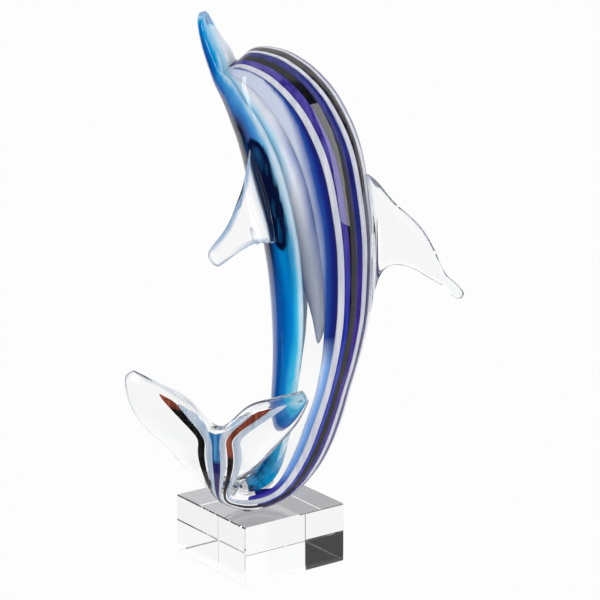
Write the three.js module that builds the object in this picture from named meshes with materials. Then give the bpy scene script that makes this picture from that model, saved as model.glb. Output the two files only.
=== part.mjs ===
// Leaping dolphin of cased art glass standing on its curled tail on a crystal block.
// Millimetres, +Z up. The origin is the centre of the block's underside.
//
// The dolphin is one long loft. A station gives the section's centre, the direction of the
// back, the half depth (back to belly) and the half width. In the flukes the section's two
// sides also rise ahead of its middle, which turns the flat tail into a V. Every layer of
// glass is a loft in the same stations, at its own share of the section and its own angles,
// measured from the middle of the back (0) over the left side (90) to the belly (180).
import * as THREE from "three";

const BLOCK = { side: 70, height: 35, bevel: 0.5 };
const BOND = { radius: 3.6, topShare: 0.8, film: 0.4, gap: 0.2, segments: 24 };
const FIGURE_TURN = -45;

const SIDES = 20;
const LONG_BODY = [8, 22];
const CLOSEST_RINGS = 0.2;
const HOLLOW_FROM = 1;
const WALL = 0.88;
const CANE = { outer: 0.78, inner: 0.7, steps: 2 };
const GATHER = { share: 0.6, span: [12, 26], pocketDepth: 0.5 };
const CORE_GAP = 0.03;
const FIN_SIDES = 12;
const FIN_LIFT = 1.022;
const CUT = 21.5;
const CUT_GAP = 0.035;

// The sections, from the tip of the beak to the trailing edge of the flukes.
// at: centre; back: direction of the back; half: depth, width to the left, width to the right;
// rise: how far the left side, and the right side, run ahead of the middle; bow: that rise's power.
const STATIONS = [
  { at: [-30.9, 0, 317.6], back: [1, 0, 0.25], half: [1.6, 1.6, 1.6] },
  { at: [-30.4, 0, 315.4], back: [1, 0, 0.22], half: [3.4, 3.2, 3.2] },
  { at: [-28.4, 0, 308.5], back: [1, 0, 0.2], half: [5, 4.8, 4.8] },
  { at: [-24.4, 0, 298.9], back: [1, 0, 0.38], half: [6.9, 6.6, 6.6] },
  { at: [-20.8, 0, 290.9], back: [0.84, 0, 0.54], half: [8.1, 8, 8] },
  { at: [-18.1, 0, 284.5], back: [0.67, 0, 0.74], half: [9.3, 10, 10] },
  { at: [-13.2, 0, 283.2], back: [0.48, 0, 0.88], half: [15.1, 14.5, 14.5] },
  { at: [-7.3, 0, 280.7], back: [0.46, 0, 0.89], half: [21.1, 19, 19] },
  { at: [0.6, 0, 275.3], back: [0.54, 0, 0.84], half: [26.5, 23, 23] },
  { at: [9.2, 0, 266.5], back: [0.64, 0, 0.77], half: [30.7, 26, 26] },
  { at: [17.8, 0, 253], back: [0.75, 0, 0.67], half: [33.8, 28, 28] },
  { at: [25.8, 0, 233.4], back: [0.85, 0, 0.52], half: [34.7, 29, 29] },
  { at: [30.7, 0, 213], back: [0.94, 0, 0.34], half: [32.7, 28.5, 28.5] },
  { at: [34.2, 0, 190], back: [0.97, 0, 0.23], half: [31.1, 27.5, 27.5] },
  { at: [35.5, 0, 167.5], back: [0.99, 0, 0.15], half: [29.5, 26, 26] },
  { at: [35.3, 0, 145.5], back: [1, 0, 0.09], half: [27.8, 24.5, 24.5] },
  { at: [33.2, 0, 125.2], back: [1, 0, 0.01], half: [25.3, 22.5, 22.5] },
  { at: [29.9, 0, 105.5], back: [1, 0, -0.07], half: [22.6, 20, 20] },
  { at: [26.2, -1, 85.5], back: [0.98, 0, -0.19], half: [20.4, 18, 18] },
  { at: [20, -5, 65.5], back: [0.9, 0.05, -0.43], half: [17, 16.2, 16.2] },
  { at: [8.6, -12.5, 50.6], back: [0.55, 0.15, -0.82], half: [13.2, 14.5, 14.5] },
  { at: [-5.5, -20, 45.7], back: [-0.05, -0.12, -1], half: [9.8, 13.2, 13.2] },
  { at: [-15.6, -26, 49.8], back: [-0.5, -0.55, -0.68], half: [7.2, 13, 13.4], rise: [0, 0], bow: 2 },
  { at: [-17.5, -27.7, 58], back: [-0.27, -0.96, -0.15], half: [6, 18, 18.5], rise: [0.6, 0.4], bow: 2 },
  { at: [-18, -28.2, 66], back: [-0.26, -0.97, 0], half: [5, 27, 29.5], rise: [2.6, 2.4], bow: 1.8 },
  { at: [-18.3, -28.1, 73.3], back: [-0.26, -0.97, 0], half: [4.7, 37, 41], rise: [5.6, 5], bow: 1.3 },
  { at: [-18.6, -28, 78.3], back: [-0.26, -0.97, 0], half: [4.5, 45.5, 50], rise: [9.5, 8.5], bow: 1 },
  { at: [-18.8, -28, 82.6], back: [-0.26, -0.97, 0], half: [4.3, 52, 56], rise: [14.5, 14], bow: 0.82 },
  { at: [-18.9, -28, 85.3], back: [-0.26, -0.97, 0], half: [3.6, 56, 58.6], rise: [22, 23], bow: 0.7 },
  { at: [-18.9, -28, 86.5], back: [-0.26, -0.97, 0], half: [1.8, 53, 54], rise: [28, 27], bow: 0.62 },
];
const LAST = STATIONS.length - 1;

// The coloured canes: rows of station, angle of the edge nearer the back, angle of the other edge.
// rightEnd: the station where the cane on the right side stops, if it stops short of the left one.
const CANES = [
  {
    name: "midline_cane",
    colour: 0x2b1f6e,
    edges: [[5, -8, 8], [9, -8, 8], [13, -4, 4], [20.5, -7, 7], [27, -8, 8]],
  },
  {
    name: "thin_white_cane",
    colour: 0xdfe3ec,
    edges: [[5, 9.5, 16], [9, 9.5, 15.7], [13, 5.5, 16.5], [20.5, 8.5, 17.5], [28, 10, 24]],
  },
  {
    name: "navy_cane",
    colour: 0x202a86,
    edges: [[5, 17.5, 28.5], [9, 17.2, 28.5], [13, 18, 28.8], [20.5, 19, 27]],
  },
  {
    name: "black_cane",
    colour: 0x0b0b0d,
    edges: [[5, 30, 39], [9, 30, 39], [13, 30.3, 39.5], [20.5, 28.5, 38.5], [28, 26, 39]],
  },
  {
    name: "cobalt_cane",
    colour: 0x3a48a0,
    edges: [[5, 40.5, 49], [9, 40.5, 50.8], [13, 41, 49], [20.5, 40, 44.5]],
  },
  {
    name: "wide_white_cane",
    colour: 0xf2f3f8,
    edges: [[5, 50.5, 60], [9, 52.3, 60], [13, 50.5, 58.8], [20.5, 46, 60], [28, 45, 60]],
    rightEnd: 18,
  },
  {
    name: "blue_veil",
    colour: 0x3165ae,
    edges: [[6, 61.5, 80], [9, 61.5, 84], [13, 60.3, 80], [16, 60.8, 74], [21, 62, 72]],
    rightEnd: 16,
  },
];
// The share of their angle that the canes have at a station. They spread round the curl, keep
// their distance from the middle while the flukes widen, and swing out along the flukes' upper edges.
const CANE_SWING = [
  [0, 1], [17, 1], [19.5, 1.28], [21, 1.28], [22, 1.05], [24, 0.75], [25, 0.55], [26, 0.45], [27, 0.7], [28, 1.3],
];
// The blue of the belly: from the angle where it starts on the left side round to the same on
// the right. It wraps the beak and then keeps to the belly.
const STREAK = { span: [1, 21], start: [[1, 72], [4, 78], [8, 109], [21, 111]], steps: 10 };
const CORE = {
  span: [2, 15.5],
  share: [[2, 0.66], [9.5, 0.68], [11, 0.6], [12, 0.5], [13.4, 0.33], [15.5, 0.03]],
};

const curve = (pick) => new THREE.CatmullRomCurve3(STATIONS.map((s) => new THREE.Vector3(...pick(s))));
const centres = curve((s) => s.at);
const backs = curve((s) => s.back);
const halves = curve((s) => s.half);
const rises = curve((s) => [...(s.rise ?? [0, 0]), s.bow ?? 2]);

// The section at station number s, which may lie between two stations.
function section(s) {
  const t = s / LAST;
  const along = centres.getTangent(t);
  const back = backs.getPoint(t).normalize();
  const side = along.clone().cross(back).normalize();
  return { centre: centres.getPoint(t), along, back, side, half: halves.getPoint(t), rise: rises.getPoint(t) };
}

// A point of the section: angle in degrees from the back, share of the way out from the centre.
function bodyPoint(s, angle, share) {
  const { centre, along, back, side, half, rise } = section(s);
  const radians = THREE.MathUtils.degToRad(angle);
  const deep = Math.cos(radians) * share;
  const wide = Math.sin(radians) * share;
  const onLeft = wide > 0;
  return centre
    .addScaledVector(back, half.x * deep)
    .addScaledVector(side, (onLeft ? half.y : half.z) * wide)
    .addScaledVector(along, (onLeft ? rise.x : rise.y) * Math.abs(wide) ** rise.z);
}

// The value at station s in a list of [station, value] pairs.
function lookUp(pairs, s) {
  const next = Math.max(1, pairs.findIndex(([station]) => station >= s));
  const [[s0, value0], [s1, value1]] = pairs.slice(next - 1, next + 1);
  return THREE.MathUtils.mapLinear(s, s0, s1, value0, value1);
}

// Station numbers for the rings of a layer: every station, and the halfway ones where the body
// is long and smooth. All layers share them, so that their facets nest.
function ringStations(from, to) {
  const inner = [];
  for (let s = 0.5; s < LAST; s += 0.5) {
    const halfway = s % 1 !== 0;
    const wanted = !halfway || (s > LONG_BODY[0] && s < LONG_BODY[1]) || s > LAST - 1;
    if (wanted && s > from + CLOSEST_RINGS && s < to - CLOSEST_RINGS) inner.push(s);
  }
  return [from, ...inner, to];
}

const ring = (s, share) =>
  Array.from({ length: SIDES }, (_, i) => bodyPoint(s, -90 + (i * 360) / SIDES, share));

// A closed body through a row of rings of an even number of points. Each end is closed straight
// across, from each point to the one that mirrors it. A ring that has a point on the mirror line,
// as a round section does, starts with it. A quad is split along its longer diagonal.
function loft(rings, round = true) {
  const count = rings[0].length;
  const positions = rings.flat().flatMap((p) => p.toArray());
  const point = (i) => new THREE.Vector3().fromArray(positions, 3 * i);
  const triangles = [];
  const quad = (a, b, c, d) => {
    const acrossAC = point(a).distanceTo(point(c)) >= point(b).distanceTo(point(d));
    triangles.push(...(acrossAC ? [a, b, c, a, c, d] : [a, b, d, b, c, d]));
  };
  for (let k = 0; k + 1 < rings.length; k += 1) {
    for (let i = 0; i < count; i += 1) {
      const next = (i + 1) % count;
      quad(k * count + i, k * count + next, (k + 1) * count + next, (k + 1) * count + i);
    }
  }
  const last = (rings.length - 1) * count;
  const mirror = (i) => (round ? count - i : count - 1 - i);
  for (let i = round ? 1 : 0; i + 1 < count / 2; i += 1) {
    quad(i + 1, i, mirror(i), mirror(i + 1));
    quad(last + i, last + i + 1, last + mirror(i + 1), last + mirror(i));
  }
  if (round) {
    const half = count / 2;
    triangles.push(0, count - 1, 1, half, half - 1, half + 1);
    triangles.push(last, last + 1, last + count - 1, last + half, last + half + 1, last + half - 1);
  }
  return facingOut(positions, triangles);
}

// The geometry of a closed triangle list, turned inside out if its volume is negative.
function facingOut(positions, triangles) {
  const corner = (i) => new THREE.Vector3().fromArray(positions, 3 * triangles[i]);
  let volume = 0;
  for (let i = 0; i < triangles.length; i += 3) {
    volume += corner(i).dot(corner(i + 1).cross(corner(i + 2)));
  }
  const geometry = new THREE.BufferGeometry();
  geometry.setAttribute("position", new THREE.Float32BufferAttribute(positions, 3));
  geometry.setIndex(volume > 0 ? triangles : [...triangles].reverse());
  geometry.computeVertexNormals();
  return geometry;
}

const glass = (colour, opacity) =>
  new THREE.MeshStandardMaterial({
    color: colour,
    roughness: 0.03,
    metalness: 0,
    transparent: opacity < 1,
    opacity,
  });
const CLEAR = glass(0xf4f8fb, 0.3);

function piece(name, geometry, material) {
  const mesh = new THREE.Mesh(geometry, material);
  mesh.name = name;
  return mesh;
}

// The crystal block and the film of clear adhesive on it.
function block() {
  const half = BLOCK.side / 2;
  const chamfer = BLOCK.bevel;
  const outline = new THREE.Shape();
  for (let quarter = 0; quarter < 4; quarter += 1) {
    const turn = (x, y) => new THREE.Vector2(x, y).rotateAround(new THREE.Vector2(), (quarter * Math.PI) / 2);
    const corner = [turn(half - chamfer, -half + 2 * chamfer), turn(half - chamfer, half - 2 * chamfer)];
    corner.forEach((p, i) => (quarter + i === 0 ? outline.moveTo(p.x, p.y) : outline.lineTo(p.x, p.y)));
  }
  const geometry = new THREE.ExtrudeGeometry(outline, {
    depth: BLOCK.height - 2 * chamfer,
    bevelThickness: chamfer,
    bevelSize: chamfer,
    bevelSegments: 1,
  });
  geometry.translate(0, 0, chamfer);
  return piece("base_block", geometry, CLEAR);
}

function bond(contact) {
  const geometry = new THREE.CylinderGeometry(BOND.radius * BOND.topShare, BOND.radius, BOND.film, BOND.segments);
  geometry.rotateX(Math.PI / 2);
  geometry.translate(contact.x, contact.y, BLOCK.height + BOND.gap + BOND.film / 2);
  return piece("bond_film", geometry, CLEAR);
}

// The clear outer glass in two lengths that meet just above the block: body and tail flukes.
function casing() {
  const down = ringStations(0, CUT);
  const outer = down.map((s) => ring(s, 1));
  const inner = down.filter((s) => s >= HOLLOW_FROM).map((s) => ring(s, WALL)).reverse();
  return piece("body_casing", loft([...outer, ...inner]), CLEAR);
}

function tailFlukes() {
  const up = ringStations(CUT + CUT_GAP, LAST);
  const outer = up.map((s) => ring(s, 1)).reverse();
  const inner = up.slice(0, -1).map((s) => ring(s, WALL));
  return piece("tail_flukes", loft([...outer, ...inner]), CLEAR);
}

// A coloured layer: anglesAt gives the two angles that it lies between at a station.
function strip(span, steps, anglesAt) {
  const rings = ringStations(...span).map((s) => {
    const [start, end] = anglesAt(s);
    const angles = Array.from({ length: steps + 1 }, (_, i) => start + ((end - start) * i) / steps);
    const outside = angles.map((angle) => bodyPoint(s, angle, CANE.outer));
    const inside = angles.map((angle) => bodyPoint(s, angle, CANE.inner)).reverse();
    return [...outside, ...inside];
  });
  return loft(rings, false);
}

// A cane on the left side of the back (side 1) or on the right (side -1).
function cane(name, { colour, edges, rightEnd }, side) {
  const last = edges.at(-1)[0];
  const span = [edges[0][0], side > 0 ? last : (rightEnd ?? last)];
  const edgeAt = (column, s) => lookUp(edges.map((row) => [row[0], row[column]]), s);
  const anglesAt = (s) => [1, 2].map((column) => side * lookUp(CANE_SWING, s) * edgeAt(column, s));
  return piece(name, strip(span, CANE.steps, anglesAt), glass(colour, 1));
}

function canes() {
  return CANES.flatMap((layout) => {
    const acrossTheMiddle = layout.edges[0][1] < 0;
    if (acrossTheMiddle) return [cane(layout.name, layout, 1)];
    return [cane(`${layout.name}_left`, layout, 1), cane(`${layout.name}_right`, layout, -1)];
  });
}

function streak() {
  const anglesAt = (s) => {
    const start = lookUp(STREAK.start, s);
    return [start, 360 - start];
  };
  return piece("belly_streak", strip(STREAK.span, STREAK.steps, anglesAt), glass(0x0a7fc4, 1));
}

// The white core falls to a point inside the clear gather.
function core() {
  const rings = ringStations(...CORE.span).map((s) => ring(s, lookUp(CORE.share, s)));
  return piece("opaline_core", loft(rings), glass(0xd5dbee, 1));
}

// The clear gather fills the lower body and the tail, with a pocket for the core's point.
function gather() {
  const [top, bottom] = GATHER.span;
  const pocketEnd = CORE.span[1] + GATHER.pocketDepth;
  const pocket = ringStations(top, pocketEnd).map((s) => {
    const inside = s < CORE.span[1] ? lookUp(CORE.share, s) : CORE.share.at(-1)[1];
    return ring(s, inside + CORE_GAP);
  });
  const outer = ringStations(top, bottom).map((s) => ring(s, GATHER.share));
  return piece("clear_gather", loft([...pocket.reverse(), ...outer]), CLEAR);
}

// A fin is a loft of lens-shaped sections, from a root that follows the body to a round tip.
// root: the stations it spans, the body angle it sits on, and its half width in degrees.
// sections: leading edge, trailing edge and half thickness; across: the thickness direction.
function fin(name, { root, sections, across }) {
  const turns = Array.from({ length: FIN_SIDES }, (_, i) => (i * 2 * Math.PI) / FIN_SIDES);
  const thickness = new THREE.Vector3(...across).normalize();
  const middle = (root.span[0] + root.span[1]) / 2;
  const reach = (root.span[1] - root.span[0]) / 2;
  const rootRing = turns.map((turn) =>
    bodyPoint(middle - reach * Math.cos(turn), root.angle + root.spread * Math.sin(turn), FIN_LIFT));
  const rings = sections.map(([lead, trail, half]) => {
    const front = new THREE.Vector3(...lead);
    const rear = new THREE.Vector3(...trail);
    const centre = front.clone().lerp(rear, 0.5);
    const chord = front.sub(rear).multiplyScalar(0.5);
    return turns.map((turn) =>
      centre.clone().addScaledVector(chord, Math.cos(turn)).addScaledVector(thickness, half * Math.sin(turn)));
  });
  return piece(name, loft([rootRing, ...rings]), CLEAR);
}

const DORSAL_FIN = {
  root: { span: [11.8, 14.9], angle: 0, spread: 7 },
  across: [0, -1, 0],
  sections: [
    [[67.8, 0, 224.5], [67, 0, 166], 2.9],
    [[76, 0, 214.6], [72.5, 0, 176.2], 2.6],
    [[85.8, 0, 206.3], [80.6, 0, 178.1], 2.4],
    [[93.1, 0, 198.5], [89, 0, 175.6], 2.2],
    [[99.6, 0, 187.3], [97, 0, 171], 2],
    [[105, 0, 175.4], [103.6, 0, 167.6], 1.9],
    [[110, 0, 170.4], [108.2, 0, 163], 1.8],
    [[114.4, 0, 166.2], [111.8, 0, 160.4], 1.6],
    [[116.1, 0, 163.4], [114.6, 0, 160.4], 0.8],
  ],
};

const PECTORAL_FIN_LEFT = {
  root: { span: [9.5, 12.6], angle: 131, spread: 6 },
  across: [-0.75, -0.6, 0.3],
  sections: [
    [[-3.4, -25, 229], [9, -25.5, 194.5], 2.4],
    [[-7.2, -28, 217], [2.5, -30, 194.5], 2.1],
    [[-11.6, -32.5, 205], [-4.5, -34, 191], 1.9],
    [[-18, -37.8, 196], [-11.6, -38, 186.2], 1.8],
    [[-20.6, -40, 191.6], [-15.4, -40, 183.6], 1.6],
    [[-20.6, -41.2, 189], [-17.6, -41.2, 184.6], 1],
  ],
};

const PECTORAL_FIN_RIGHT = {
  root: { span: [10.1, 12.6], angle: -131, spread: 6 },
  across: [-0.75, 0.6, 0.3],
  sections: [
    [[-3.2, 25, 226], [10, 25, 190.5], 2.4],
    [[-5.2, 27.5, 213], [5, 29, 189], 2.1],
    [[-7.6, 31, 200], [-1, 32, 184.5], 1.9],
    [[-9.8, 35, 188.5], [-5.4, 35.4, 179.6], 1.7],
    [[-10.4, 36.6, 182], [-7.6, 36.6, 177.6], 1.3],
  ],
};

const figure = new THREE.Group();
figure.rotation.z = THREE.MathUtils.degToRad(FIGURE_TURN);
figure.add(
  casing(),
  tailFlukes(),
  gather(),
  core(),
  streak(),
  ...canes(),
  fin("dorsal_fin", DORSAL_FIN),
  fin("pectoral_fin_left", PECTORAL_FIN_LEFT),
  fin("pectoral_fin_right", PECTORAL_FIN_RIGHT),
  bond(new THREE.Vector3(-3.8, -18.8, 0)),
);

const object = new THREE.Group();
object.add(block(), figure);

export default object;
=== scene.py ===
"""Looks of the cased-glass dolphin on its crystal block.

Every visible piece grows out of its CAD solid: the solid's facets are paired back into the
four-sided lattice they were split from, and a subdivision surface is fitted through the
lattice's points. Metres, same frame as the CAD.
"""
import math

import bmesh
import bpy
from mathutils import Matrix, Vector, kdtree
from mathutils.bvhtree import BVHTree


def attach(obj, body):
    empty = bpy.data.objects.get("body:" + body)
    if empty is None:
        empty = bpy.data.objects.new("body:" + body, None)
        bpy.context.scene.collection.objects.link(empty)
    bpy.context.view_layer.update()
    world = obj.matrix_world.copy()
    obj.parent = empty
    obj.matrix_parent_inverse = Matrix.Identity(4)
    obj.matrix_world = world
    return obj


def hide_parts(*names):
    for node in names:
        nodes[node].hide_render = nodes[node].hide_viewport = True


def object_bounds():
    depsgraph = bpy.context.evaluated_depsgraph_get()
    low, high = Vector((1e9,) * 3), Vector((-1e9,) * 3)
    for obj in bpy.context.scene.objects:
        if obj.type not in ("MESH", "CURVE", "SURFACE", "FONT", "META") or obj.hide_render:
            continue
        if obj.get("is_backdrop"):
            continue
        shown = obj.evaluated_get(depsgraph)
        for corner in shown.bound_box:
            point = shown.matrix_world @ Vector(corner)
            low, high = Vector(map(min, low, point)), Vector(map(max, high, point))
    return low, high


MM = 0.001
CUT_REACH = 0.7 * MM
BORDER_ANGLE = math.radians(50)
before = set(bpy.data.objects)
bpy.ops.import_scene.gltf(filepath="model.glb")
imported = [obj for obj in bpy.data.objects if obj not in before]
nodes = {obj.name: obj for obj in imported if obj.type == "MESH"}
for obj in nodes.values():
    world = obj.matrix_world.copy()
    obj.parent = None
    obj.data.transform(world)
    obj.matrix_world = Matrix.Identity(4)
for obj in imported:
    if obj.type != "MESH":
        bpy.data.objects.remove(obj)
cad_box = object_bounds()


# ---------------------------------------------------------------- camera

# The photograph's viewpoint: a long lens, in mm, slightly above the figure.
LENS = 148.248
EYE = Vector((-773.906, -1107.015, 523.371)) * MM
TARGET = Vector((18.759, -13.599, 154.42)) * MM


def aim(obj, target):
    """Turns a camera or light towards a point."""
    obj.rotation_mode = "QUATERNION"
    obj.rotation_quaternion = (target - obj.location).to_track_quat("-Z", "Y")


def make_camera():
    data = bpy.data.cameras.new("camera")
    data.lens = LENS
    data.sensor_width = 36
    data.clip_start = 0.05
    data.clip_end = 20
    camera = bpy.data.objects.new("camera", data)
    bpy.context.scene.collection.objects.link(camera)
    camera.location = EYE
    aim(camera, TARGET)
    bpy.context.scene.camera = camera


make_camera()


# ---------------------------------------------------------------- meshes

def is_triangle(face):
    return len(face.verts) == 3


def lattice(node):
    """A CAD node's surface as a bmesh of quads: an edge that is the longest of both its
    triangles is the diagonal that a quad was split along. Triangles left over are paired
    across the longest edges that they still share."""
    bm = bmesh.new()
    bm.from_mesh(nodes[node].data)
    bmesh.ops.remove_doubles(bm, verts=bm.verts, dist=0.01 * MM)
    longest = {f: max(f.edges, key=lambda e: e.calc_length()) for f in bm.faces}
    diagonals = [
        e for e in bm.edges
        if len(e.link_faces) == 2 and all(longest[f] is e for f in e.link_faces)
    ]
    bmesh.ops.dissolve_edges(bm, edges=diagonals, use_verts=False)
    while True:
        shared = [
            e for e in bm.edges
            if len(e.link_faces) == 2 and all(is_triangle(f) for f in e.link_faces)
        ]
        if not shared:
            return bm
        last = max(shared, key=lambda e: e.calc_length())
        bmesh.ops.dissolve_edges(bm, edges=[last], use_verts=False)


def new_object(name, bm):
    mesh = bpy.data.meshes.new(name)
    bm.normal_update()
    bm.to_mesh(mesh)
    bm.free()
    obj = bpy.data.objects.new(name, mesh)
    bpy.context.scene.collection.objects.link(obj)
    return obj


def evaluated_mesh(obj):
    depsgraph = bpy.context.evaluated_depsgraph_get()
    return bpy.data.meshes.new_from_object(obj.evaluated_get(depsgraph))


def smooth(obj, levels, rounds=3):
    """Subdivides the cage, first moved so that the smooth surface passes through its points."""
    modifier = obj.modifiers.new("smooth", "SUBSURF")
    modifier.subdivision_type = "CATMULL_CLARK"
    modifier.levels = 1
    targets = [v.co.copy() for v in obj.data.vertices]
    for _ in range(rounds):
        reached = evaluated_mesh(obj)
        for vertex, target in zip(obj.data.vertices, targets):
            vertex.co += target - reached.vertices[vertex.index].co
        bpy.data.meshes.remove(reached)
        obj.data.update()
    modifier.levels = levels
    finished = evaluated_mesh(obj)
    obj.modifiers.clear()
    obj.data = finished
    obj.data.shade_smooth()


def piece(name, bm, levels, *replaced):
    """A smooth visible piece in place of some CAD nodes, or of the one that it is named after."""
    obj = new_object(name, bm)
    smooth(obj, levels)
    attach(obj, "root")
    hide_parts(*(replaced or (name.removesuffix("_glass"),)))
    return obj


def outer_shell(node, neighbour):
    """The outside of a hollow CAD node, without the end that faces its neighbour."""
    bm = lattice(node)
    near = surface_distance(neighbour)
    ends = [f for f in bm.faces if near(f.calc_center_median()) < CUT_REACH]
    bmesh.ops.delete(bm, geom=ends, context="FACES")
    seed = max(bm.verts, key=lambda v: v.co.z)
    kept = {seed}
    front = [seed]
    while front:
        found = [e.other_vert(v) for v in front for e in v.link_edges]
        front = [v for v in dict.fromkeys(found) if v not in kept]
        kept.update(front)
    bmesh.ops.delete(bm, geom=[v for v in bm.verts if v not in kept], context="VERTS")
    return bm


def body_glass():
    """Casing and flukes as the one drawn gather that they are, welded over the CAD's cut."""
    bm = outer_shell("body_casing", "tail_flukes")
    tail = outer_shell("tail_flukes", "body_casing")
    mesh = bpy.data.meshes.new("tail")
    tail.to_mesh(mesh)
    tail.free()
    bm.from_mesh(mesh)
    bpy.data.meshes.remove(mesh)
    rims = [v for v in bm.verts if v.is_boundary]
    bmesh.ops.remove_doubles(bm, verts=rims, dist=CUT_REACH)
    return bm


# ---------------------------------------------------------------- distances that colours follow

def surface_distance(*targets):
    """A function that tells how far a point is from the nearest of some CAD nodes."""
    bm = bmesh.new()
    for target in targets:
        bm.from_mesh(nodes[target].data)
    tree = BVHTree.FromBMesh(bm)
    bm.free()
    return lambda point: tree.find_nearest(point)[3]


def border_distance(bm):
    """A function that tells how far a point is from the sharp borders of a piece of glass."""
    sharp = [e for e in bm.edges if e.calc_face_angle(0) > BORDER_ANGLE]
    points = []
    for edge in sharp:
        first, last = (v.co for v in edge.verts)
        steps = math.ceil(edge.calc_length() / MM)
        points += [first.lerp(last, k / steps) for k in range(steps + 1)]
    bm.free()
    tree = kdtree.KDTree(len(points))
    for index, point in enumerate(points):
        tree.insert(point, index)
    tree.balance()
    return lambda point: tree.find(point)[2]


def store(obj, name, distance):
    """Keeps each vertex's distance, in millimetres, for the materials."""
    attribute = obj.data.attributes.new(name, "FLOAT", "POINT")
    for item, vertex in zip(attribute.data, obj.data.vertices):
        item.value = distance(vertex.co) / MM


# ---------------------------------------------------------------- materials

class Tree:
    """A node tree of a material or world, with short ways to add and join nodes."""

    def __init__(self, owner):
        owner.use_nodes = True
        self.tree = owner.node_tree
        self.tree.nodes.clear()

    def add(self, kind, inputs=(), **settings):
        made = self.tree.nodes.new(kind)
        for key, value in settings.items():
            setattr(made, key, value)
        for key, value in dict(inputs).items():
            socket = made.inputs[key]
            if isinstance(value, bpy.types.NodeSocket):
                self.tree.links.new(value, socket)
            else:
                socket.default_value = value
        return made

    def math(self, operation, *values):
        return self.add("ShaderNodeMath", enumerate(values), operation=operation).outputs[0]

    def between(self, value, low, high):
        """0 at low, 1 at high, straight between; high may be the smaller one."""
        limits = {0: value, 1: low, 2: high}
        return self.add("ShaderNodeMapRange", limits).outputs[0]

    def ramp(self, factor, stops):
        """A colour ramp over (place, grey or colour) stops whose places are 0 to 1."""
        made = self.add("ShaderNodeValToRGB", {0: factor})
        elements = made.color_ramp.elements
        while len(elements) < len(stops):
            elements.new(1)
        for element, (place, tone) in zip(elements, stops):
            element.position = place
            element.color = (tone, tone, tone, 1) if isinstance(tone, (int, float)) else (*tone, 1)
        return made.outputs["Color"]

    def scale_ramp(self, value, stops):
        """A colour ramp whose stops are placed in the value's own unit."""
        low, high = stops[0][0], stops[-1][0]
        places = [((place - low) / (high - low), tone) for place, tone in stops]
        return self.ramp(self.between(value, low, high), places)

    def blend(self, factor, first, second):
        first, second = [(*c, 1) if isinstance(c, tuple) else c for c in (first, second)]
        made = self.add("ShaderNodeMix", {0: factor, 6: first, 7: second}, data_type="RGBA")
        return made.outputs[2]

    def place(self):
        return self.add("ShaderNodeTexCoord").outputs["Object"]

    def height(self):
        """Height above the shelf in millimetres."""
        parts = self.add("ShaderNodeSeparateXYZ", {0: self.place()})
        return self.math("DIVIDE", parts.outputs[2], MM)

    def stored(self, name):
        return self.add("ShaderNodeAttribute", attribute_name=name).outputs["Fac"]

    def noise(self, size, stretch=1.0, detail=2.0):
        """Noise of a feature size in metres, drawn out upwards; 0 to 1 around 0.5."""
        squeezed = self.add("ShaderNodeMapping", {0: self.place(), "Scale": (1, 1, 1 / stretch)})
        inputs = {"Vector": squeezed.outputs[0], "Scale": 1 / size, "Detail": detail}
        return self.add("ShaderNodeTexNoise", inputs).outputs["Fac"]

    def cloud(self, size, stretch=1.0):
        """Noise with clear 0 and 1 patches."""
        return self.between(self.noise(size, stretch), 0.35, 0.65)

    def wander(self, size, stretch, detail, reach):
        """A shift that goes either way, for a border that isn't ruled."""
        centred = self.math("SUBTRACT", self.noise(size, stretch, detail), 0.5)
        return self.math("MULTIPLY", centred, reach)

    def in_tail(self):
        """1 inside the flukes, and 0 from a few millimetres before them."""
        return self.between(self.stored("tail"), 6, 1)


def principled(name, colour, bump=None, **sockets):
    """colour is called with the material's tree, and gives the base colour's socket."""
    material = bpy.data.materials.new(name)
    tree = Tree(material)
    values = {key.replace("_", " "): value for key, value in sockets.items()}
    values["Base Color"] = colour(tree)
    if bump:
        height = tree.noise(bump[0])
        relief = {"Strength": bump[1], "Distance": bump[0] / 4, "Height": height}
        values["Normal"] = tree.add("ShaderNodeBump", relief).outputs[0]
    surface = tree.add("ShaderNodeBsdfPrincipled", values)
    tree.add("ShaderNodeOutputMaterial", {0: surface.outputs[0]})
    return material


CLEAR_SHADES = ((0.985, 0.99, 0.995), (1.0, 1.0, 1.0))
# Size, in metres, of the patches in which the tint drifts.
DRIFT = 0.03
# Bump: size in metres and strength.
RIPPLE = (0.02, 0.03)
FAINT_RIPPLE = (0.018, 0.02)


def clear(name, colour, bump=None):
    return principled(name, colour, bump, Roughness=0.0, IOR=1.5, Transmission_Weight=1.0)


def tinted(first, second):
    """A colour function for clear glass whose tint drifts faintly between two shades."""
    return lambda tree: tree.blend(tree.cloud(DRIFT), first, second)


def coloured(name, colour):
    """Dense coloured glass buried in the clear casing, so that it has no shine of its own."""
    return principled(name, colour, Roughness=0.5, Specular_IOR_Level=0.0)


def streaky(tree, dark, light, size=0.003, stretch=12.0):
    """Two tones in the drawn-out threads of a pulled cane."""
    return tree.blend(tree.cloud(size, stretch), dark, light)


def white_colour(tree):
    """Milky threads, cooler in the tail."""
    thread = streaky(tree, (0.58, 0.6, 0.68), (0.72, 0.73, 0.77))
    cool_thread = streaky(tree, (0.44, 0.54, 0.66), (0.66, 0.7, 0.76))
    return tree.blend(tree.in_tail(), thread, cool_thread)


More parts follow.
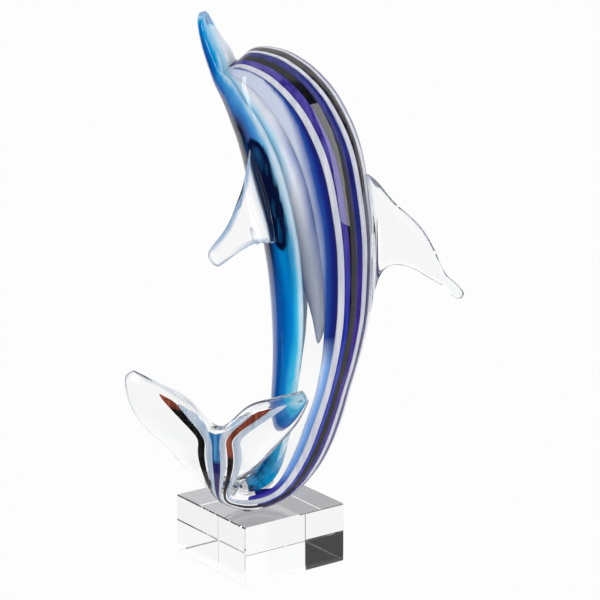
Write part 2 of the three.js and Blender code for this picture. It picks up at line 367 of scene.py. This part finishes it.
def black_colour(copper_height):
    """Black that thins to charcoal down the body, and to copper above a height in the tail."""
    def colour(tree):
        upper = streaky(tree, (0.003, 0.003, 0.004), (0.01, 0.01, 0.014))
        lower = streaky(tree, (0.004, 0.004, 0.004), (0.018, 0.016, 0.016))
        body = tree.blend(tree.between(tree.height(), 200, 160), upper, lower)
        copper = streaky(tree, (0.16, 0.035, 0.02), (0.4, 0.11, 0.06))
        raised = tree.between(tree.height(), copper_height, copper_height + 3)
        return tree.blend(tree.math("MULTIPLY", raised, tree.in_tail()), body, copper)

    return colour


def navy_colour(tree):
    upper = streaky(tree, (0.008, 0.01, 0.1), (0.02, 0.03, 0.24))
    lower = streaky(tree, (0.03, 0.015, 0.2), (0.07, 0.035, 0.3))
    return tree.blend(tree.between(tree.height(), 200, 160), upper, lower)


def midline_colour(tree):
    """Nearly black at the head, violet lower down, dusky in the tail, watery blue at its notch."""
    head = streaky(tree, (0.008, 0.006, 0.012), (0.05, 0.045, 0.05))
    low = streaky(tree, (0.02, 0.015, 0.12), (0.06, 0.04, 0.24))
    body = tree.blend(tree.between(tree.height(), 230, 150), head, low)
    dusk = streaky(tree, (0.008, 0.006, 0.05), (0.03, 0.022, 0.15))
    water = streaky(tree, (0.02, 0.1, 0.3), (0.12, 0.42, 0.7), 0.002)
    in_tail = tree.in_tail()
    raised = tree.between(tree.height(), 66, 69)
    body = tree.blend(in_tail, body, dusk)
    return tree.blend(tree.math("MULTIPLY", raised, in_tail), body, water)


def cobalt_colour(tree):
    upper = streaky(tree, (0.03, 0.02, 0.22), (0.09, 0.07, 0.36))
    lower = streaky(tree, (0.01, 0.02, 0.32), (0.04, 0.07, 0.5))
    return tree.blend(tree.between(tree.height(), 200, 140), upper, lower)


def veil_colour(tree):
    """Navy where the core is behind it, light blue over clear glass, navy again round the curl."""
    away = tree.math("ADD", tree.stored("away"), tree.math("MULTIPLY", tree.noise(0.004, 10), 2.0))
    spread = tree.scale_ramp(tree.height(), [(235, 1.0), (284, 0.2)])
    over_core = tree.scale_ramp(tree.math("DIVIDE", away, spread), [
        (0, (0.012, 0.008, 0.09)), (4, (0.008, 0.018, 0.2)), (7, (0.02, 0.08, 0.34)),
        (12, (0.6, 0.64, 0.76))])
    over_clear = tree.scale_ramp(away, [
        (0, (0.05, 0.17, 0.6)), (3, (0.18, 0.4, 0.8)), (7, (0.82, 0.88, 0.96))])
    curl = tree.scale_ramp(away, [
        (0, (0.01, 0.01, 0.26)), (5, (0.06, 0.04, 0.4)), (7, (0.5, 0.5, 0.8))])
    upper = tree.blend(tree.between(tree.height(), 140, 122), over_core, over_clear)
    return tree.blend(tree.between(tree.height(), 62, 50), upper, curl)


def streak_colour(tree):
    """From its border to the belly: a thin cyan fade, blue, cobalt, and a paler edge."""
    inset = tree.math("ADD", tree.stored("inset"), tree.wander(0.012, 8, 4, 9.0))
    upper = tree.scale_ramp(inset, [
        (0, (0.6, 0.76, 0.86)), (3, (0.06, 0.38, 0.62)), (6, (0.0, 0.16, 0.4)), (10, (0.0, 0.27, 0.66)),
        (14, (0.0, 0.12, 0.4)), (18, (0.004, 0.012, 0.06)), (24, (0.003, 0.004, 0.02)),
        (29, (0.03, 0.04, 0.12))])
    lower = tree.scale_ramp(inset, [
        (0, (0.8, 0.93, 0.97)), (3, (0.04, 0.6, 0.86)), (7, (0.0, 0.24, 0.66)), (13, (0.0, 0.1, 0.4)),
        (20, (0.02, 0.09, 0.34)), (26, (0.1, 0.16, 0.42))])
    throat = tree.scale_ramp(inset, [
        (0, (0.6, 0.74, 0.85)), (3, (0.1, 0.4, 0.72)), (7, (0.04, 0.2, 0.56)), (11, (0.05, 0.07, 0.2)),
        (14, (0.004, 0.004, 0.012)), (22, (0.006, 0.012, 0.05))])
    beak = tree.scale_ramp(inset, [
        (0, (0.5, 0.7, 0.85)), (2.5, (0.0, 0.34, 0.66)), (5, (0.0, 0.15, 0.5)), (8, (0.0, 0.04, 0.28))])
    height = tree.height()
    body = tree.blend(tree.between(height, 190, 155), upper, lower)
    body = tree.blend(tree.between(height, 225, 255), body, throat)
    body = tree.blend(tree.between(height, 272, 286), body, beak)
    # Painted shade: a dark navy ring round the pectoral fin's root, in place of the refraction that
    # darkens the streak there.
    root = tree.math("ADD", tree.stored("fin"), tree.math("MULTIPLY", tree.noise(0.004, 6, 3), 3.0))
    painted_fin_root_ring = tree.scale_ramp(root, [(7.6, 0.15), (8.8, 1), (9.8, 1), (10.8, 0)])
    body = tree.blend(painted_fin_root_ring, body, (0.002, 0.006, 0.04))
    strokes = tree.between(tree.noise(0.006, 3, 5), 0.42, 0.6)
    brushed = tree.blend(strokes, (0.0, 0.02, 0.1), (0.0, 0.3, 0.6))
    return tree.blend(tree.between(height, 78, 58), body, brushed)


def core_colour(tree):
    """Opaline white that passes into the blue of its neighbours at both edges."""
    wander = tree.wander(0.01, 10, 3, 5.0)
    cloud = tree.cloud(0.02, 6)
    silver = tree.blend(cloud, (0.62, 0.66, 0.72), (0.82, 0.84, 0.87))
    lavender = tree.blend(cloud, (0.8, 0.84, 0.95), (0.92, 0.94, 0.98))
    opal = tree.blend(tree.between(tree.height(), 262, 232), silver, lavender)
    back = tree.math("ADD", tree.stored("back"), wander)
    low_edge = tree.blend(tree.between(back, 2, 12), (0.03, 0.02, 0.22), (0.3, 0.36, 0.72))
    edge = tree.blend(tree.between(tree.height(), 190, 160), (0.12, 0.2, 0.55), low_edge)
    edge = tree.blend(tree.between(tree.height(), 245, 265), edge, silver)
    edged = tree.blend(tree.between(back, 9, 15), edge, opal)
    belly = tree.math("ADD", tree.stored("belly"), wander)
    return tree.blend(tree.between(belly, 1, 4.5), (0.3, 0.62, 0.8), edged)


def dress(obj, material, slot=None):
    obj.data.materials.clear()
    obj.data.materials.append(material)


def clear_with_painted_edge_shade(tree):
    """Clear glass with a painted blue-grey shade line along its thin edges, in place of the darkening
    that refraction gives there.
    """
    body = tree.blend(tree.cloud(DRIFT), *CLEAR_SHADES)
    # Painted shade: a blue-grey line near the sharp edges, where refraction darkens clear glass.
    painted_edge_shade = tree.blend(tree.between(tree.noise(0.01), 0.4, 0.6), (0.35, 0.42, 0.55), (0.6, 0.65, 0.72))
    return tree.blend(tree.between(tree.stored("edge"), 0.3, 1.6), painted_edge_shade, body)


def pectoral_with_painted_shade(tree):
    """Clear glass with a painted blue-grey shade in place of the refraction in the fin's thick leading
    edge.
    """
    # Painted shade: blue-grey over the thick leading edge, above about 190 mm, over the painted edge
    # line.
    near_edge = tree.between(tree.stored("edge"), 3.4, 1.4)
    painted_rod_shade = tree.math("MULTIPLY", near_edge, tree.between(tree.height(), 190, 198))
    return tree.blend(painted_rod_shade, clear_with_painted_edge_shade(tree), (0.34, 0.47, 0.66))


PAINTED_EDGE_SHADE_GLASS = clear("clear_glass", clear_with_painted_edge_shade, RIPPLE)
PAINTED_SHADE_PECTORAL = clear("pectoral_glass", pectoral_with_painted_shade, RIPPLE)
CRYSTAL = clear("crystal", tinted((0.985, 0.985, 0.99), (1.0, 1.0, 1.0)))
ADHESIVE = clear("adhesive", tinted((0.93, 0.93, 0.93), (0.97, 0.97, 0.97)), FAINT_RIPPLE)

# Start of the node's name: material and slot.
LOOKS = {
    "thin_white_cane": (coloured("white_cane", white_colour), "white_cane"),
    "wide_white_cane": (coloured("wide_white_cane", white_colour), "white_cane"),
    "black_cane_left": (coloured("black_cane", black_colour(70)), "black_cane"),
    "black_cane_right": (coloured("black_cane_right", black_colour(94)), "black_cane"),
    "navy_cane": (coloured("navy_cane", navy_colour), "navy_cane"),
    "midline_cane": (coloured("midline_cane", midline_colour), "violet_cane"),
    "cobalt_cane": (coloured("cobalt_cane", cobalt_colour), "cobalt_cane"),
    "blue_veil": (coloured("blue_veil", veil_colour), "blue_veil"),
    "belly_streak": (coloured("belly_streak", streak_colour), "aqua_blue"),
    "opaline_core": (coloured("opaline_core", core_colour), "opaline_white"),
}
WHITES = ("wide_white_cane_left", "wide_white_cane_right")
# Stored distance: starts of the names of the nodes that keep it, and how it is measured.
MEASURES = {
    "tail": (("thin_white", "wide_white", "black", "midline"), surface_distance("tail_flukes")),
    "away": (("blue_veil",), surface_distance(*WHITES)),
    "inset": (("belly_streak",), border_distance(lattice("belly_streak"))),
    "fin": (("belly_streak",), surface_distance("pectoral_fin_left", "pectoral_fin_right")),
    "back": (("opaline_core",), surface_distance(*WHITES)),
    "belly": (("opaline_core",), surface_distance("belly_streak")),
}


def coloured_pieces():
    for node in sorted(nodes):
        for prefix, (material, slot) in LOOKS.items():
            if node.startswith(prefix):
                obj = piece(node + "_glass", lattice(node), 2)
                for name, (users, distance) in MEASURES.items():
                    if node.startswith(users):
                        store(obj, name, distance)
                dress(obj, material, slot)


def clear_pieces():
    shell = piece("body_glass", body_glass(), 3, "body_casing", "tail_flukes", "clear_gather")
    store(shell, "edge", border_distance(body_glass()))
    dress(shell, PAINTED_EDGE_SHADE_GLASS, "clear_glass")
    for node in sorted(nodes):
        if "fin" in node:
            blade = piece(node + "_glass", lattice(node), 3)
            store(blade, "edge", border_distance(lattice(node)))
            dress(blade, PAINTED_SHADE_PECTORAL if "pectoral" in node else PAINTED_EDGE_SHADE_GLASS, "clear_glass")
    dress(nodes["base_block"], CRYSTAL)
    dress(nodes["bond_film"], ADHESIVE)


coloured_pieces()
clear_pieces()


# ---------------------------------------------------------------- studio

# The camera's heading, which the studio is turned to.
STUDIO_TURN = math.radians(-35.94)
# What the camera sees where nothing stands.
PALE = 0.98
# Half the width of the painted shadow, a grey square that the block stands on.
PAINTED_SHADOW_HALF_WIDTH = 0.0345
# Brightness over degrees round the figure, 0 behind it: backdrop, dark flags and a white panel.
SIDES = [
    (-180, 0.06), (-120, 0.06), (-112, 0.02), (-62, 0.02), (-54, 1), (56, 1), (64, 0.04),
    (84, 0.04), (90, 0.06), (98, 0.06), (102, 1), (114, 1), (118, 0.06), (180, 0.06)]
# Over degrees of height: 1 where the sides are seen, 0 for white overhead.
HEIGHTS = [(-90, 1), (48, 1), (60, 0), (90, 0)]
# What light scattered off a coloured surface finds all round it.
FILL = (1.5, 1.5, 1.52)
# The floor's half width, how far it lies below the block, and the distances over which it passes
# from white to the studio's own light.
FLOOR_REACH = 8
FLOOR_GAP = 0.2 * MM
WHITE_FLOOR = (0.17, 0.3)
# Middle of the figure, where the softboxes point.
FIGURE = Vector((0, 0, 0.2))
# Softboxes: name, place, size, watts.
SOFTBOXES = [
    ("key", (0.42, -1.2, 0.5), (0.45, 1.1), 7),
    ("rim", (-1.2, 0.1, 0.5), (0.15, 0.9), 2.5),
]


def studio_light(tree, direction):
    """How bright the studio is in a direction: a white backdrop, dark flags at both sides."""
    turned = tree.add("ShaderNodeMapping", {0: direction, "Rotation": (0, 0, -STUDIO_TURN)},
                      vector_type="VECTOR")
    parts = tree.add("ShaderNodeSeparateXYZ", {0: turned.outputs[0]})
    turn = tree.math("DEGREES", tree.math("ARCTAN2", parts.outputs[0], parts.outputs[1]))
    height = tree.math("DEGREES", tree.math("ARCSINE", parts.outputs[2]))
    around = tree.scale_ramp(turn, SIDES)
    return tree.blend(tree.scale_ramp(height, HEIGHTS), (1, 1, 1), around)


def lit(tree, mirrored):
    """The studio as glass mirrors it, but plain to the camera, and an even fill for soft light."""
    path = tree.add("ShaderNodeLightPath")
    scattered = tree.math("GREATER_THAN", path.outputs["Diffuse Depth"], 0.5)
    light = tree.blend(scattered, mirrored, FILL)
    return tree.blend(path.outputs["Is Camera Ray"], light, (PALE, PALE, PALE))


def make_world():
    world = bpy.data.worlds.new("studio")
    tree = Tree(world)
    direction = tree.add("ShaderNodeTexCoord").outputs["Generated"]
    light = lit(tree, studio_light(tree, direction))
    background = tree.add("ShaderNodeBackground", {0: light, 1: 1})
    tree.add("ShaderNodeOutputWorld", {0: background.outputs[0]})
    bpy.context.scene.world = world


def make_floor():
    """A pale sweep: seen directly it is plain, and it lights the glass like the studio around it, with
    a painted shadow, a grey square, under the block.
    It lies a hair below the block, whose own underside mirrors the studio."""
    bm = bmesh.new()
    bmesh.ops.create_grid(bm, x_segments=1, y_segments=1, size=FLOOR_REACH)
    floor = new_object("floor", bm)
    floor.location.z = -FLOOR_GAP
    material = bpy.data.materials.new("floor")
    tree = Tree(material)
    parts = tree.add("ShaderNodeSeparateXYZ", {0: tree.place()})
    across = [tree.math("ABSOLUTE", parts.outputs[k]) for k in (0, 1)]
    # Painted shadow: grey under the block and white round it, seen only through the glass.
    in_painted_shadow = tree.math("LESS_THAN", tree.math("MAXIMUM", *across), PAINTED_SHADOW_HALF_WIDTH)
    near = tree.blend(in_painted_shadow, (0.95, 0.95, 0.95), (0.38, 0.38, 0.4))
    reach = tree.add("ShaderNodeVectorMath", {0: tree.place()}, operation="LENGTH").outputs["Value"]
    spread = tree.blend(tree.between(reach, *WHITE_FLOOR), near, studio_light(tree, tree.place()))
    glow = tree.add("ShaderNodeEmission", {0: lit(tree, spread), 1: 1})
    tree.add("ShaderNodeOutputMaterial", {0: glow.outputs[0]})
    dress(floor, material)
    floor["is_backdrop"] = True


def softbox(name, place, size, power):
    data = bpy.data.lights.new(name, "AREA")
    data.shape = "RECTANGLE"
    data.size, data.size_y = size
    data.energy = power
    light = bpy.data.objects.new(name, data)
    bpy.context.scene.collection.objects.link(light)
    light.location = place
    aim(light, FIGURE)


make_world()
make_floor()
for box in SOFTBOXES:
    softbox(*box)

scene = bpy.context.scene
scene.view_settings.view_transform = "Standard"
scene.cycles.use_denoising = True
scene.cycles.max_bounces = 24
scene.cycles.transmission_bounces = 20
scene.cycles.glossy_bounces = 8

visual_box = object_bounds()
boxes = {"cad": cad_box, "visual": visual_box}
{key: [list(corner) for corner in box] for key, box in boxes.items()}
